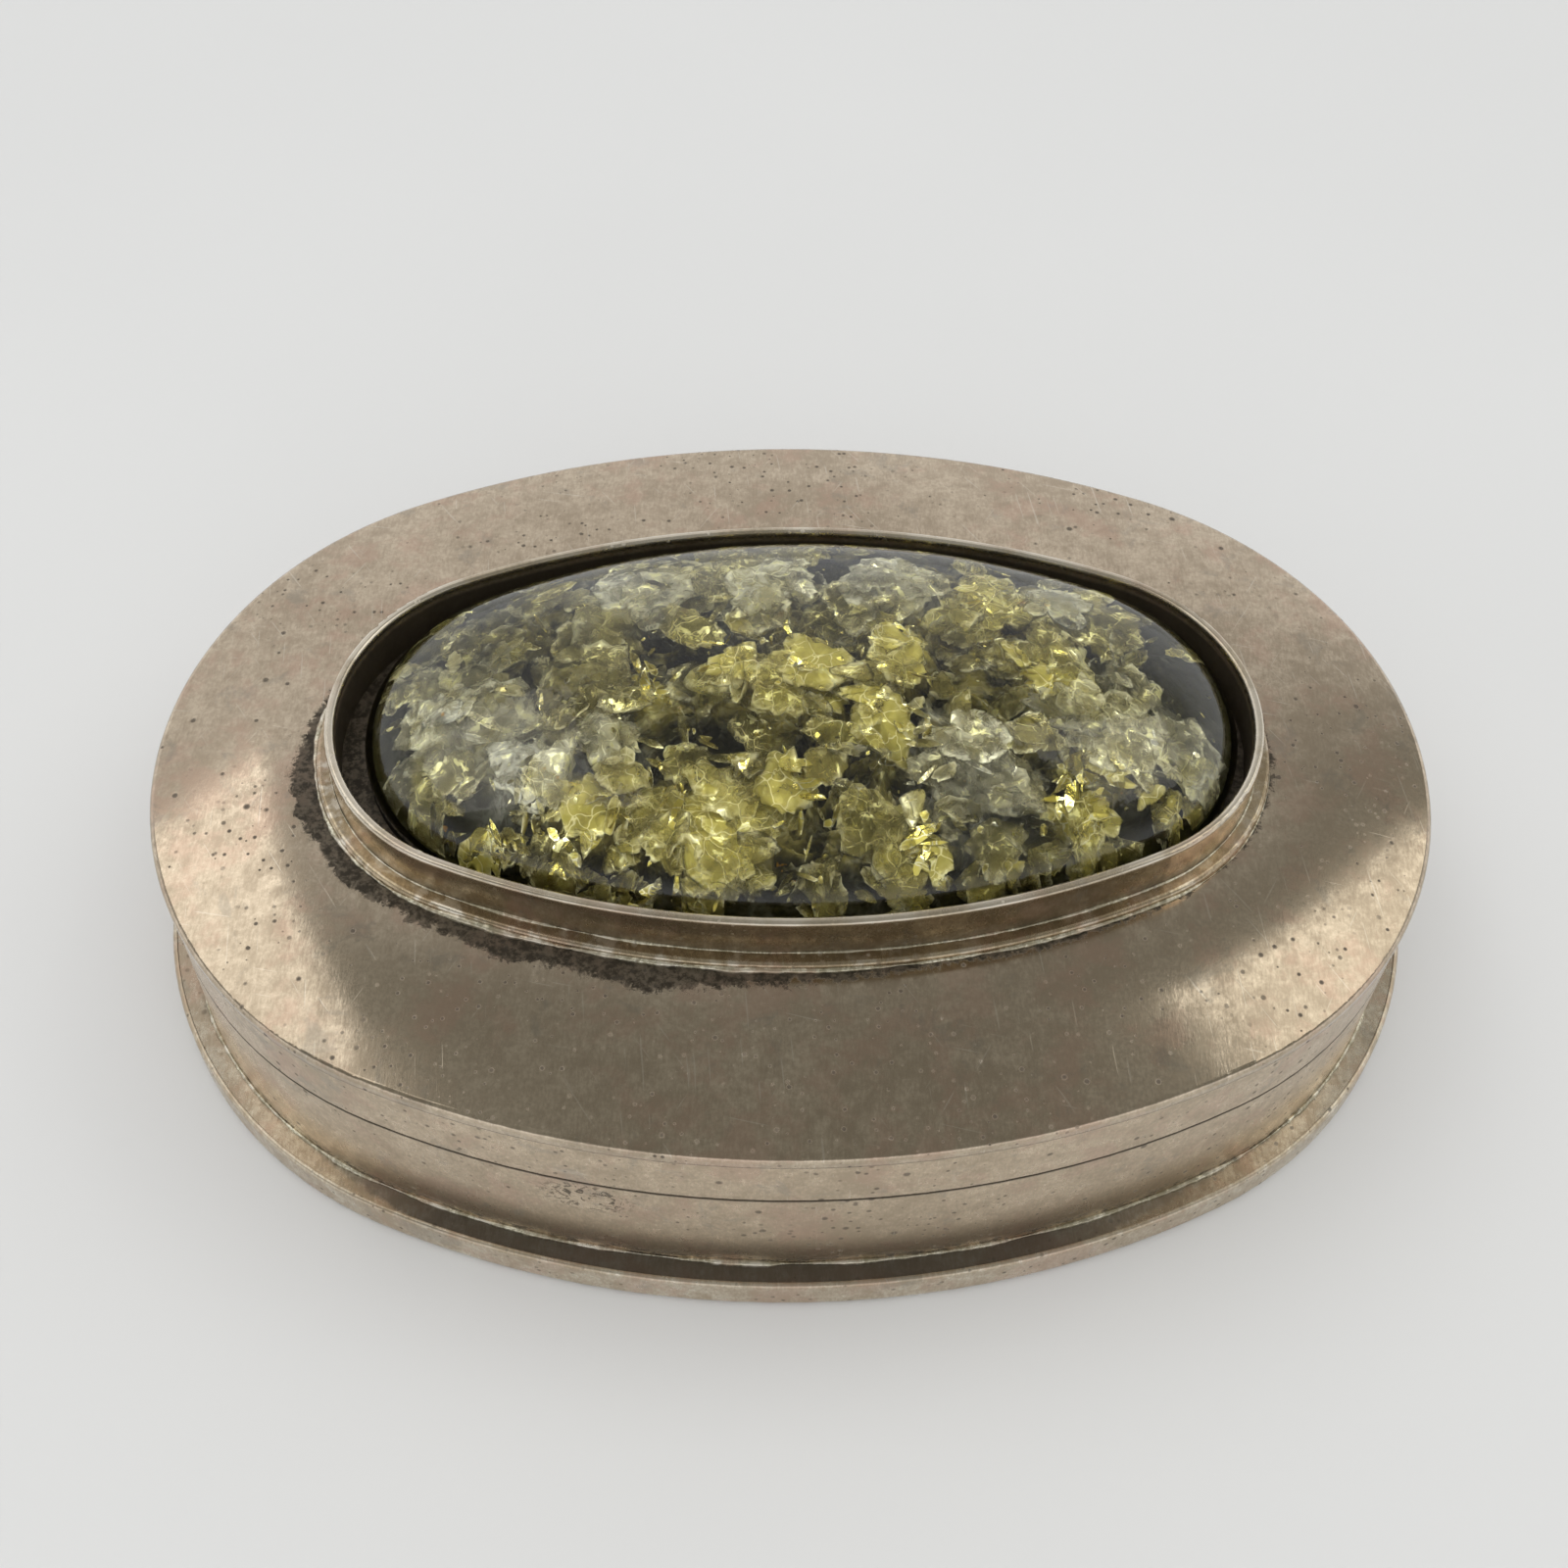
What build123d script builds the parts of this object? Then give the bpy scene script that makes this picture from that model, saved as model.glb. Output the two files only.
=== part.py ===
from build123d import *

import os
from math import cos, hypot, radians, sin

# Oval hinged pill box in sheet silver, with a domed cabochon in a raised bezel on its lid.
# Millimetres. +Z up, +X along the box, the hinge at the back (+Y).
# Origin: centre of the underside, on the surface that the box stands on.

# Outlines. Each oval is four tangent arcs: half length, half width, radius of the end arcs.
LID_OVAL = (30.0, 21.4, 19.0)
BEZEL_OVAL = (21.6, 12.0, 9.4)

# Heights
seam_height = 7.95
seam_gap = 0.08
lid_wall_top = 11.05
lid_edge_height = 11.65
seat_height = 12.35
bezel_top = 14.85

# Sheet and wall thicknesses
sheet = 0.6
wall_inset = 0.08
liner_sheet = 0.4
bezel_sheet = 0.45

# Foot
foot_flare = 1.1
foot_lip = 0.23
foot_top = 1.95
floor_top = 1.9
floor_underside = 1.3
foot_ledge = 1.3
foot_round = 0.2
foot_bottom_round = 0.4

# Friction collar that the lid closes over
liner_clearance = 0.12
liner_bottom = 4.2
liner_top = 9.45
liner_round = 0.15

# Lid
lid_edge_round = 0.3
seat_margin = 0.75
crown_steps = 6
height_tolerance = 0.01

# Bezel and the step wire round its foot
bezel_round = 0.18
step_width = 0.7
step_height = 0.38
step_round = 0.22

# Cabochon: dark backing, layer of amber chips, clear resin dome
stone_shift = 0.35
stone_side_clearance = 0.3
stone_end_clearance = 0.85
backing_thickness = 0.5
girdle_height = 13.2
dome_rise = 5.2
chip_inset = 1.1
chip_rise = 2.9
fit_gap = 0.02
dome_angles = (0, 15, 30, 44, 57, 69, 79, 87)

# Hinge
hinge_y = 21.5
knuckle_radius = 0.9
gutter_radius = 1.0
pin_radius = 0.4
pin_clearance = 0.05
knuckle_length = 2.4
knuckle_gap = 0.06
rivet_radius = 0.62
rivet_thickness = 0.22
rivet_room = 0.4
bearer_height = 1.7
bearer_depth = 1.2
half_row = 2.5 * knuckle_length
BASE_KNUCKLES = {"left": -2, "middle": 0, "right": 2}
LID_KNUCKLES = {"left": -1, "right": 1}

os.makedirs("parts", exist_ok=True)


def grown(oval, amount):
    """The parallel oval, larger by this amount all round."""
    return tuple(value + amount for value in oval)


def between(outer, inner, share):
    """The oval this share of the way from the outer one to the inner one."""
    return tuple(a + (b - a) * share for a, b in zip(outer, inner))


def oval_sketch(oval, height, centre_x=0.0):
    """The oval's face at one height: four tangent arcs, each through its own crest."""
    length, width, end_radius = oval
    side_radius = (length**2 - 2 * length * end_radius + width**2) / (2 * (width - end_radius))
    end_centre = length - end_radius
    side_centre = width - side_radius
    reach = hypot(end_centre, side_centre)
    joint_x = end_centre + end_radius * end_centre / reach
    joint_y = -end_radius * side_centre / reach
    joints = [(joint_x, joint_y), (-joint_x, joint_y), (-joint_x, -joint_y), (joint_x, -joint_y)]
    crests = [(0, width), (-length, 0), (0, -width), (length, 0)]
    with BuildSketch(Plane.XY.offset(height)) as outline:
        with BuildLine():
            for index, crest in enumerate(crests):
                arc = (joints[index], crest, joints[(index + 1) % 4])
                ThreePointArc(*[(x + centre_x, y) for x, y in arc])
        make_face()
    return outline.sketch


def oval_slab(oval, low, high, mode=Mode.ADD, centre_x=0.0):
    """An upright prism on the oval, from one height to another."""
    extrude(oval_sketch(oval, low, centre_x), amount=high - low, mode=mode)


def oval_crown(outer, inner, low, high, mode=Mode.ADD):
    """A shallow dome that rises from the outer oval and levels off at the inner one."""
    sections = []
    for step in range(crown_steps):
        share = step / (crown_steps - 1)
        rise = (high - low) * (1 - (1 - share) ** 2)
        sections.append(oval_sketch(between(outer, inner, share), low + rise))
    loft(sections, mode=mode)


def oval_dome(oval, low, rise, centre_x, mode=Mode.ADD):
    """A cabochon dome over the oval, an ellipse in every upright section through its centre."""
    sections = []
    for angle in dome_angles:
        shrunk = tuple(value * cos(radians(angle)) for value in oval)
        sections.append(oval_sketch(shrunk, low + rise * sin(radians(angle)), centre_x))
    loft(sections, mode=mode)


def hinge_cylinder(radius, start_x, end_x, mode=Mode.ADD):
    """A cylinder on the hinge axis between two places along it."""
    with BuildSketch(Plane.YZ.offset(start_x)) as circle:
        with Locations((hinge_y, seam_height)):
            Circle(radius)
    extrude(circle.sketch, amount=end_x - start_x, mode=mode)


def knuckle_span(place):
    """Where the knuckle at this place in the row starts and ends along the hinge."""
    middle = place * knuckle_length
    half = knuckle_length / 2
    return middle - half, middle + half


def cut_gutters(own, other):
    """Hollows a wall for the knuckles: close round its own ones, clear of the other half's."""
    for place in own.values():
        start, end = knuckle_span(place)
        hinge_cylinder(knuckle_radius, start, end, Mode.SUBTRACT)
    for place in other.values():
        start, end = knuckle_span(place)
        hinge_cylinder(gutter_radius, start - knuckle_gap, end + knuckle_gap, Mode.SUBTRACT)
    for start in (-half_row - rivet_room, half_row):
        hinge_cylinder(gutter_radius, start, start + rivet_room, Mode.SUBTRACT)


def save(piece, name):
    """Labels a finished piece and writes it."""
    piece.part.label = name
    export_step(piece.part, f"parts/{name}.step")


# Derived outlines
wall_oval = grown(LID_OVAL, -wall_inset)
wall_inner = grown(wall_oval, -sheet)
lid_wall_inner = grown(wall_inner, liner_clearance)
liner_outer = grown(wall_inner, -fit_gap)
liner_inner = grown(liner_outer, -liner_sheet)
foot_oval = grown(LID_OVAL, foot_flare)
foot_rebate = grown(foot_oval, -foot_lip)
seat_oval = grown(BEZEL_OVAL, seat_margin)
bezel_inner = grown(BEZEL_OVAL, -bezel_sheet)
inner_length, inner_width, inner_end = bezel_inner
stone_oval = (
    inner_length - stone_end_clearance,
    inner_width - stone_side_clearance,
    inner_end - stone_side_clearance,
)
chip_oval = grown(stone_oval, -chip_inset)
backing_top = seat_height + backing_thickness
lid_wall_bottom = seam_height + seam_gap


# Base: floor plate let into a rebated foot wire
with BuildPart() as foot_wire:
    oval_slab(foot_oval, 0, foot_top)
    fillet(foot_wire.faces().sort_by(Axis.Z)[0].edges(), foot_bottom_round)
    fillet(foot_wire.faces().sort_by(Axis.Z)[-1].edges(), foot_round)
    oval_slab(foot_rebate, floor_underside, foot_top, Mode.SUBTRACT)
    oval_slab(grown(foot_rebate, -foot_ledge), 0, floor_underside, Mode.SUBTRACT)
save(foot_wire, "foot_wire")

with BuildPart() as base_plate:
    oval_slab(grown(foot_rebate, -fit_gap), floor_underside, floor_top)
save(base_plate, "base_plate")


# Base: side wall and the friction collar soldered inside it
with BuildPart() as body_wall:
    oval_slab(wall_oval, floor_top, seam_height)
    oval_slab(wall_inner, floor_top, seam_height, Mode.SUBTRACT)
    cut_gutters(BASE_KNUCKLES, LID_KNUCKLES)
save(body_wall, "body_wall")

with BuildPart() as inner_liner:
    oval_slab(liner_outer, liner_bottom, liner_top)
    fillet(inner_liner.faces().sort_by(Axis.Z)[-1].edges(), liner_round)
    oval_slab(liner_inner, liner_bottom, liner_top, Mode.SUBTRACT)
    cut_gutters(BASE_KNUCKLES, LID_KNUCKLES)
save(inner_liner, "inner_liner")


# Lid: pressed plate with a low crown and a level seat, and the wall under its edge
with BuildPart() as lid_plate:
    oval_slab(LID_OVAL, lid_wall_top, lid_edge_height)
    oval_crown(LID_OVAL, seat_oval, lid_edge_height, seat_height)
    rim_low, rim_high = lid_edge_height - height_tolerance, lid_edge_height + height_tolerance
    fillet(lid_plate.edges().filter_by_position(Axis.Z, rim_low, rim_high), lid_edge_round)
    oval_crown(lid_wall_inner, seat_oval, lid_wall_top, seat_height - sheet, Mode.SUBTRACT)
save(lid_plate, "lid_plate")

with BuildPart() as lid_wall:
    oval_slab(wall_oval, lid_wall_bottom, lid_wall_top)
    oval_slab(lid_wall_inner, lid_wall_bottom, lid_wall_top, Mode.SUBTRACT)
    cut_gutters(LID_KNUCKLES, BASE_KNUCKLES)
save(lid_wall, "lid_wall")


# Bezel: an upright collar with a rounded rim, and the flat wire round its foot
with BuildPart() as bezel_wall:
    oval_slab(BEZEL_OVAL, seat_height, bezel_top)
    oval_slab(bezel_inner, seat_height, bezel_top, Mode.SUBTRACT)
    fillet(bezel_wall.faces().sort_by(Axis.Z)[-1].edges(), bezel_round)
save(bezel_wall, "bezel_wall")

with BuildPart() as bezel_step_wire:
    oval_slab(grown(BEZEL_OVAL, step_width), seat_height, seat_height + step_height)
    fillet(bezel_step_wire.faces().sort_by(Axis.Z)[-1].edges(), step_round)
    oval_slab(grown(BEZEL_OVAL, fit_gap), seat_height, seat_height + step_height, Mode.SUBTRACT)
save(bezel_step_wire, "bezel_step_wire")


# Cabochon: dark backing, amber chips, and the clear dome cast over them
with BuildPart() as stone_backing:
    oval_slab(stone_oval, seat_height, backing_top, centre_x=stone_shift)
save(stone_backing, "stone_backing")

with BuildPart() as amber_chip_layer:
    oval_slab(chip_oval, backing_top, girdle_height, centre_x=stone_shift)
    oval_dome(chip_oval, girdle_height, chip_rise, stone_shift)
save(amber_chip_layer, "amber_chip_layer")

with BuildPart() as resin_dome:
    oval_slab(stone_oval, backing_top, girdle_height, centre_x=stone_shift)
    oval_dome(stone_oval, girdle_height, dome_rise, stone_shift)
    hollow = grown(chip_oval, fit_gap)
    oval_slab(hollow, backing_top, girdle_height, Mode.SUBTRACT, stone_shift)
    oval_dome(hollow, girdle_height, chip_rise + fit_gap, stone_shift, Mode.SUBTRACT)
save(resin_dome, "resin_dome")


# Hinge: five knuckles on one pin, each half's knuckles against a straight bearer on its wall
for half, knuckles in (("base", BASE_KNUCKLES), ("lid", LID_KNUCKLES)):
    for side, place in knuckles.items():
        start, end = knuckle_span(place)
        with BuildPart() as knuckle:
            hinge_cylinder(knuckle_radius, start + knuckle_gap / 2, end - knuckle_gap / 2)
            hinge_cylinder(pin_radius + pin_clearance, start, end, Mode.SUBTRACT)
        save(knuckle, f"{half}_knuckle_{side}")

with BuildPart() as hinge_pin:
    hinge_cylinder(pin_radius, -half_row, half_row)
    hinge_cylinder(rivet_radius, half_row, half_row + rivet_thickness)
    hinge_cylinder(rivet_radius, -half_row - rivet_thickness, -half_row)
save(hinge_pin, "hinge_pin")

bearers = {
    "base": (seam_height - bearer_height, seam_height, BASE_KNUCKLES, LID_KNUCKLES),
    "lid": (lid_wall_bottom, lid_wall_bottom + bearer_height, LID_KNUCKLES, BASE_KNUCKLES),
}
for half, (low, high, own, other) in bearers.items():
    with BuildPart() as bearer:
        with BuildSketch(Plane.XY.offset(low)):
            with Locations((0, hinge_y)):
                Rectangle(2 * half_row, bearer_depth, align=(Align.CENTER, Align.MAX))
        extrude(amount=high - low)
        oval_slab(wall_oval, low, high, Mode.SUBTRACT)
        cut_gutters(own, other)
    save(bearer, f"{half}_hinge_bearer")
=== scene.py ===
import math
import random
from collections import namedtuple

import bpy
from mathutils import Matrix, Vector, noise


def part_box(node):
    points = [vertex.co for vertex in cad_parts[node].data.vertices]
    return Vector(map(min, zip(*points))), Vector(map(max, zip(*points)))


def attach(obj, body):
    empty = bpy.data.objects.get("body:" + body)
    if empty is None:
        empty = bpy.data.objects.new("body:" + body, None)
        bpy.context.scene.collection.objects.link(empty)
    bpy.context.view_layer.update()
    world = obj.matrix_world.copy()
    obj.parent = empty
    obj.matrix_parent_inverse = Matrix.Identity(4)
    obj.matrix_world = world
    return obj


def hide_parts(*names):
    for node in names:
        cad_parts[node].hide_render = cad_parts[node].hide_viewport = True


# An oval pill box in tarnished silver, its lid set with a cabochon of green amber flakes in clear resin.
# The CAD solids carry all the metal. The stone and the solder lines are made here.
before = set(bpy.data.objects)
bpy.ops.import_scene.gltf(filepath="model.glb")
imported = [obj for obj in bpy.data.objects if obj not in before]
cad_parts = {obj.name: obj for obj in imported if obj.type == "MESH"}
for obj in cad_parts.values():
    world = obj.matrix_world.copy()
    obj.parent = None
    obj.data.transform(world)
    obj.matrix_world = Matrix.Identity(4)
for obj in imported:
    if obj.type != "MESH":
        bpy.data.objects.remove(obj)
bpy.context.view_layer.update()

MM = 0.001
PER_MM = 1000.0


# ---------------------------------------------------------------- places read from the CAD model


def top_of(node):
    """The highest level of a CAD node, in millimetres."""
    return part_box(node)[1].z / MM


def half_size(node):
    """Half length and half width of a CAD node, in millimetres."""
    low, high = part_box(node)
    return (high.x - low.x) / 2 / MM, (high.y - low.y) / 2 / MM


# The radii of the ends of the two ovals, which a node's box doesn't tell.
LID_END_RADIUS = 19.0
BEZEL_END_RADIUS = 9.4

wall_length, wall_width = half_size("body_wall")
bezel_length, bezel_width = half_size("bezel_wall")
step_length, step_width = half_size("bezel_step_wire")
stone_length, stone_width = half_size("stone_backing")
stone_low, stone_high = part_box("stone_backing")
stone_centre = (stone_low.x + stone_high.x) / 2 / MM
backing_top = top_of("stone_backing")
stone_top = top_of("resin_dome")
floor_top = top_of("base_plate")
seam_height = top_of("body_wall")
bezel_top = top_of("bezel_wall")
seat_height = top_of("lid_plate")
edge_height = top_of("lid_wall")


# ---------------------------------------------------------------- camera

# Angles in degrees, distances in millimetres.
CAMERA_AZIMUTH = -3.4
CAMERA_ELEVATION = 51.6
CAMERA_ROLL = 2.04
CAMERA_DISTANCE = 92.4
CAMERA_TARGET = Vector((-0.49, 0.0, 9.24))
CAMERA_LENS = 43.9


def make_camera():
    """A camera that looks down at the front of the box, turned a little about its own line of sight."""
    azimuth = math.radians(CAMERA_AZIMUTH)
    elevation = math.radians(CAMERA_ELEVATION)
    level = math.cos(elevation)
    back = Vector((math.sin(azimuth) * level, -math.cos(azimuth) * level, math.sin(elevation)))
    upright = back.to_track_quat("Z", "Y").to_matrix()
    data = bpy.data.cameras.new("camera")
    data.lens = CAMERA_LENS
    data.sensor_width = 36.0
    data.clip_start = 0.005
    data.clip_end = 10.0
    camera = bpy.data.objects.new("camera", data)
    bpy.context.scene.collection.objects.link(camera)
    turned = upright @ Matrix.Rotation(math.radians(CAMERA_ROLL), 3, "Z")
    place = (CAMERA_TARGET + back * CAMERA_DISTANCE) * MM
    camera.matrix_world = Matrix.Translation(place) @ turned.to_4x4()
    bpy.context.scene.camera = camera


# ---------------------------------------------------------------- node graphs


# The sockets of a colour mix node.
MIX_SHARE, MIX_A, MIX_B, MIX_COLOUR = 0, 6, 7, 2


class Graph:
    """A short way to write a node graph. An input is a number, a colour or another node's output."""

    def __init__(self, tree):
        self.tree = tree

    def add(self, kind, inputs=(), output=0, **settings):
        node = self.tree.nodes.new(kind)
        for key, value in settings.items():
            setattr(node, key, value)
        for key, value in dict(inputs).items():
            self.feed(node.inputs[key], value)
        return node.outputs[output]

    def feed(self, socket, value):
        if isinstance(value, bpy.types.NodeSocket):
            self.tree.links.new(value, socket)
        else:
            socket.default_value = value

    def maths(self, operation, a, b=0.0, clamp=False):
        return self.add("ShaderNodeMath", {0: a, 1: b}, operation=operation, use_clamp=clamp)

    def plus(self, a, b, clamp=False):
        return self.maths("ADD", a, b, clamp)

    def minus(self, a, b):
        return self.maths("SUBTRACT", a, b)

    def times(self, a, b, clamp=False):
        return self.maths("MULTIPLY", a, b, clamp)

    def noise(self, where, scale, detail=2.0, rough=0.5, distortion=0.0):
        inputs = {"Vector": where, "Scale": scale, "Detail": detail}
        inputs.update({"Roughness": rough, "Distortion": distortion})
        return self.add("ShaderNodeTexNoise", inputs)

    def step(self, value, low, high):
        """Rises smoothly from 0 at low to 1 at high, or falls if low is the larger."""
        if low > high:
            return self.minus(1.0, self.step(value, high, low))
        inputs = {"Value": value, "From Min": low, "From Max": high}
        return self.add("ShaderNodeMapRange", inputs, interpolation_type="SMOOTHSTEP")

    def mix(self, share, a, b):
        """The colour between a and b."""
        node = self.tree.nodes.new("ShaderNodeMix")
        node.data_type = "RGBA"
        self.feed(node.inputs[MIX_SHARE], share)
        self.feed(node.inputs[MIX_A], a)
        self.feed(node.inputs[MIX_B], b)
        return node.outputs[MIX_COLOUR]

    def between(self, share, a, b):
        """The number between a and b."""
        inputs = {"Value": share, "From Min": 0.0, "From Max": 1.0, "To Min": a, "To Max": b}
        return self.add("ShaderNodeMapRange", inputs)

    def place(self):
        """Where a point of the object is at rest, in millimetres."""
        coordinates = self.tree.nodes.new("ShaderNodeTexCoord").outputs["Object"]
        return self.add("ShaderNodeVectorMath", {0: coordinates, "Scale": PER_MM}, operation="SCALE")

    def turned(self, where, angle, stretch):
        """The place turned about Z by an angle in degrees, then stretched along its own axes."""
        rotated = self.add("ShaderNodeMapping", {"Vector": where, "Rotation": (0, 0, math.radians(angle))})
        return self.add("ShaderNodeMapping", {"Vector": rotated, "Scale": stretch})

    def bump(self, height, distance, normal=None):
        inputs = {"Height": height, "Distance": distance * MM, "Strength": 1.0}
        if normal is not None:
            inputs["Normal"] = normal
        return self.add("ShaderNodeBump", inputs)


def new_material(name):
    """An empty material: its graph, its shader and its coordinates in millimetres."""
    material = bpy.data.materials.new(name)
    material.use_nodes = True
    material.node_tree.nodes.clear()
    graph = Graph(material.node_tree)
    shader = material.node_tree.nodes.new("ShaderNodeBsdfPrincipled")
    output = material.node_tree.nodes.new("ShaderNodeOutputMaterial")
    material.node_tree.links.new(shader.outputs[0], output.inputs["Surface"])
    return material, graph, shader, graph.place()


# ---------------------------------------------------------------- tarnished silver

# The power that makes a rounded oval follow the metal's outlines.
OVAL_POWER = 2.2


def outside_distance(graph, where, half_length, half_width):
    """How far a point lies outside an oval outline, in millimetres, measured from the centre out."""
    axes = graph.add("ShaderNodeSeparateXYZ", {0: where}).node.outputs
    shares = []
    for axis, half in ((axes[0], half_length), (axes[1], half_width)):
        share = graph.maths("ABSOLUTE", graph.maths("DIVIDE", axis, half))
        shares.append(graph.maths("POWER", share, OVAL_POWER))
    ratio = graph.maths("POWER", graph.plus(*shares), 1 / OVAL_POWER)
    flat = graph.add("ShaderNodeCombineXYZ", {0: axes[0], 1: axes[1]})
    radius = graph.add("ShaderNodeVectorMath", {0: flat}, output=1, operation="LENGTH")
    return graph.times(radius, graph.minus(1.0, graph.maths("DIVIDE", 1.0, ratio)))


def height_of(graph, where):
    """The height of a point, in millimetres."""
    return graph.add("ShaderNodeSeparateXYZ", {0: where}, output=2)


def pits(graph, where, scale, share, size):
    """Round specks: one in a share of the cells, each of its own size."""
    inputs = {"Vector": where, "Scale": scale, "Randomness": 1.0}
    distance = graph.add("ShaderNodeTexVoronoi", inputs)
    cell = distance.node.outputs["Color"]
    chosen = graph.add("ShaderNodeSeparateColor", {0: cell})
    radius = graph.times(chosen.node.outputs[1], size)
    depth = graph.maths("DIVIDE", distance, graph.plus(radius, 0.02))
    spot = graph.step(depth, 1.1, 0.5)
    return graph.times(spot, graph.maths("LESS_THAN", chosen, share))


def scratches(graph, where, angle, low, high, fineness=7.0):
    """Thin broken lines that run along one direction."""
    bent = graph.noise(where, 0.12, 1.0)
    line = graph.turned(where, angle, (0.28, fineness, 1.0))
    shifted = graph.add("ShaderNodeVectorMath", {0: line, 1: bent}, operation="ADD")
    return graph.step(graph.noise(shifted, 1.0, 1.0, 0.4), low, high)


# Kinds of surface: how rough and how metallic the silver is, how much of it has pits and scratches, the
# angle of its grain in degrees, and how much fine dark speckle it has.
Finish = namedtuple("Finish", "rough metal pitting scratching streak speckle")
LID_FINISH = Finish(rough=0.11, metal=1.0, pitting=1.0, scratching=1.0, streak=4.0, speckle=0.4)
WALL_FINISH = Finish(rough=0.29, metal=0.9, pitting=0.8, scratching=0.6, streak=0.0, speckle=0.4)
BEZEL_FINISH = Finish(rough=0.24, metal=0.95, pitting=0.5, scratching=0.4, streak=0.0, speckle=0.4)
CRUST_FINISH = Finish(rough=0.32, metal=0.85, pitting=0.6, scratching=0.0, streak=0.0, speckle=0.9)
INSIDE_FINISH = Finish(rough=0.22, metal=1.0, pitting=0.3, scratching=0.6, streak=4.0, speckle=0.2)


# What dirt, painted shade and pits add to the silver's roughness. Dirt and painted shade make the silver
# half as metallic, and a pit is hardly metallic. The silver itself is never smoother than the least
# roughness.
DIRT_SHADE_AND_PIT_ROUGHNESS = 0.35
DIRT_AND_SHADE_METAL = 0.5
PIT_METAL = 0.1
LEAST_ROUGHNESS = 0.08


def silver(name, light, dark, finish, dirt_and_shade_mask=None, wear_and_highlight_mask=None):
    """Sterling silver under a thin uneven tarnish. The last two arguments take the graph and the place and
    give masks: of where dirt, painted shade and painted dark reflections darken the metal, and of where
    handling and painted highlights make it bright."""
    material, graph, shader, where = new_material(name)
    clouds = graph.noise(where, 0.14, 3.0, 0.6, 0.4)
    mottle = graph.noise(where, 1.1, 5.0, 0.72, 0.3)
    grain = graph.noise(graph.turned(where, finish.streak, (4.0, 1.0, 2.0)), 2.0, 3.0, 0.65)
    tarnish = graph.times(clouds, 0.3)
    tarnish = graph.plus(tarnish, graph.times(mottle, 0.45))
    tarnish = graph.plus(tarnish, graph.times(grain, 0.25), clamp=True)
    dullness = graph.step(tarnish, 0.38, 0.6)
    colour = graph.mix(dullness, light, dark)
    speckle = graph.step(graph.noise(where, 4.5, 2.0, 0.7), 0.4, 0.62)
    colour = graph.mix(graph.times(speckle, finish.speckle), colour, dark)

    warm = graph.step(graph.noise(where, 0.3, 4.0, 0.7), 0.48, 0.64)
    colour = graph.mix(graph.times(warm, 0.4), colour, WARM_TARNISH)
    cool = graph.step(graph.noise(where, 0.42, 4.0, 0.7, 0.5), 0.56, 0.68)
    colour = graph.mix(graph.times(cool, 0.4), colour, COOL_TARNISH)

    near = graph.step(graph.noise(where, 0.13, 2.0, 0.6), 0.4, 0.56)
    coarse = pits(graph, where, 0.9, 0.6, 0.16)
    fine = pits(graph, where, 2.4, 0.7, 0.32)
    spots = graph.maths("MAXIMUM", coarse, graph.times(fine, near))
    spots = graph.times(spots, 0.85 * finish.pitting)
    colour = graph.mix(spots, colour, PIT_BROWN)

    marks = scratches(graph, where, 86.0, 0.72, 0.76)
    for angle, low in ((58.0, 0.74), (121.0, 0.75), (14.0, 0.76)):
        marks = graph.maths("MAXIMUM", marks, scratches(graph, where, angle, low, low + 0.04))
    marks = graph.times(marks, finish.scratching)
    colour = graph.mix(graph.times(marks, 0.3), colour, BARE_AND_HIGHLIT_SILVER)

    roughness = graph.between(dullness, finish.rough - 0.03, finish.rough + 0.06)
    roughness = graph.plus(roughness, graph.times(spots, DIRT_SHADE_AND_PIT_ROUGHNESS))
    metal = graph.between(spots, finish.metal, PIT_METAL)
    if wear_and_highlight_mask is not None:
        # Painted highlights, together with bright wear, lighten the metal here.
        bright = wear_and_highlight_mask(graph, where)
        colour = graph.mix(bright, colour, BARE_AND_HIGHLIT_SILVER)
        roughness = graph.minus(roughness, graph.times(bright, 0.05))
    if dirt_and_shade_mask is not None:
        # Dirt, painted shade and painted dark reflections darken the metal here.
        dirt_and_shade = dirt_and_shade_mask(graph, where)
        colour = graph.mix(dirt_and_shade, colour, DIRT_AND_SHADE_BROWN)
        roughness = graph.plus(roughness, graph.times(dirt_and_shade, DIRT_SHADE_AND_PIT_ROUGHNESS))
        metal = graph.times(metal, graph.between(dirt_and_shade, 1.0, DIRT_AND_SHADE_METAL))

    swell = graph.bump(graph.noise(where, 0.2, 1.0, 0.4), 0.008)
    ripple = graph.bump(graph.noise(where, 1.1, 3.0, 0.55), 0.002, swell)
    brushed = graph.bump(grain, 0.0012, ripple)
    relief = graph.plus(graph.times(spots, 0.35), graph.times(marks, 0.1))
    graph.feed(shader.inputs["Base Color"], colour)
    graph.feed(shader.inputs["Metallic"], metal)
    graph.feed(shader.inputs["Roughness"], graph.maths("MAXIMUM", roughness, LEAST_ROUGHNESS))
    graph.feed(shader.inputs["Normal"], graph.bump(relief, -0.005, brushed))
    return material


# Colours of the metal, of its tarnish, of its dirt and painted shade, and of its bare and highlit places.
SILVER_LIGHT = (0.68, 0.575, 0.44, 1)
SILVER_DARK = (0.44, 0.36, 0.265, 1)
WALL_LIGHT = (0.70, 0.575, 0.425, 1)
WALL_DARK = (0.47, 0.38, 0.27, 1)
CLEAN_LIGHT = (0.74, 0.68, 0.56, 1)
CLEAN_DARK = (0.50, 0.44, 0.35, 1)
CRUST_LIGHT = (0.95, 0.91, 0.74, 1)
CRUST_DARK = (0.36, 0.32, 0.22, 1)
BARE_AND_HIGHLIT_SILVER = (0.84, 0.78, 0.67, 1)
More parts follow.
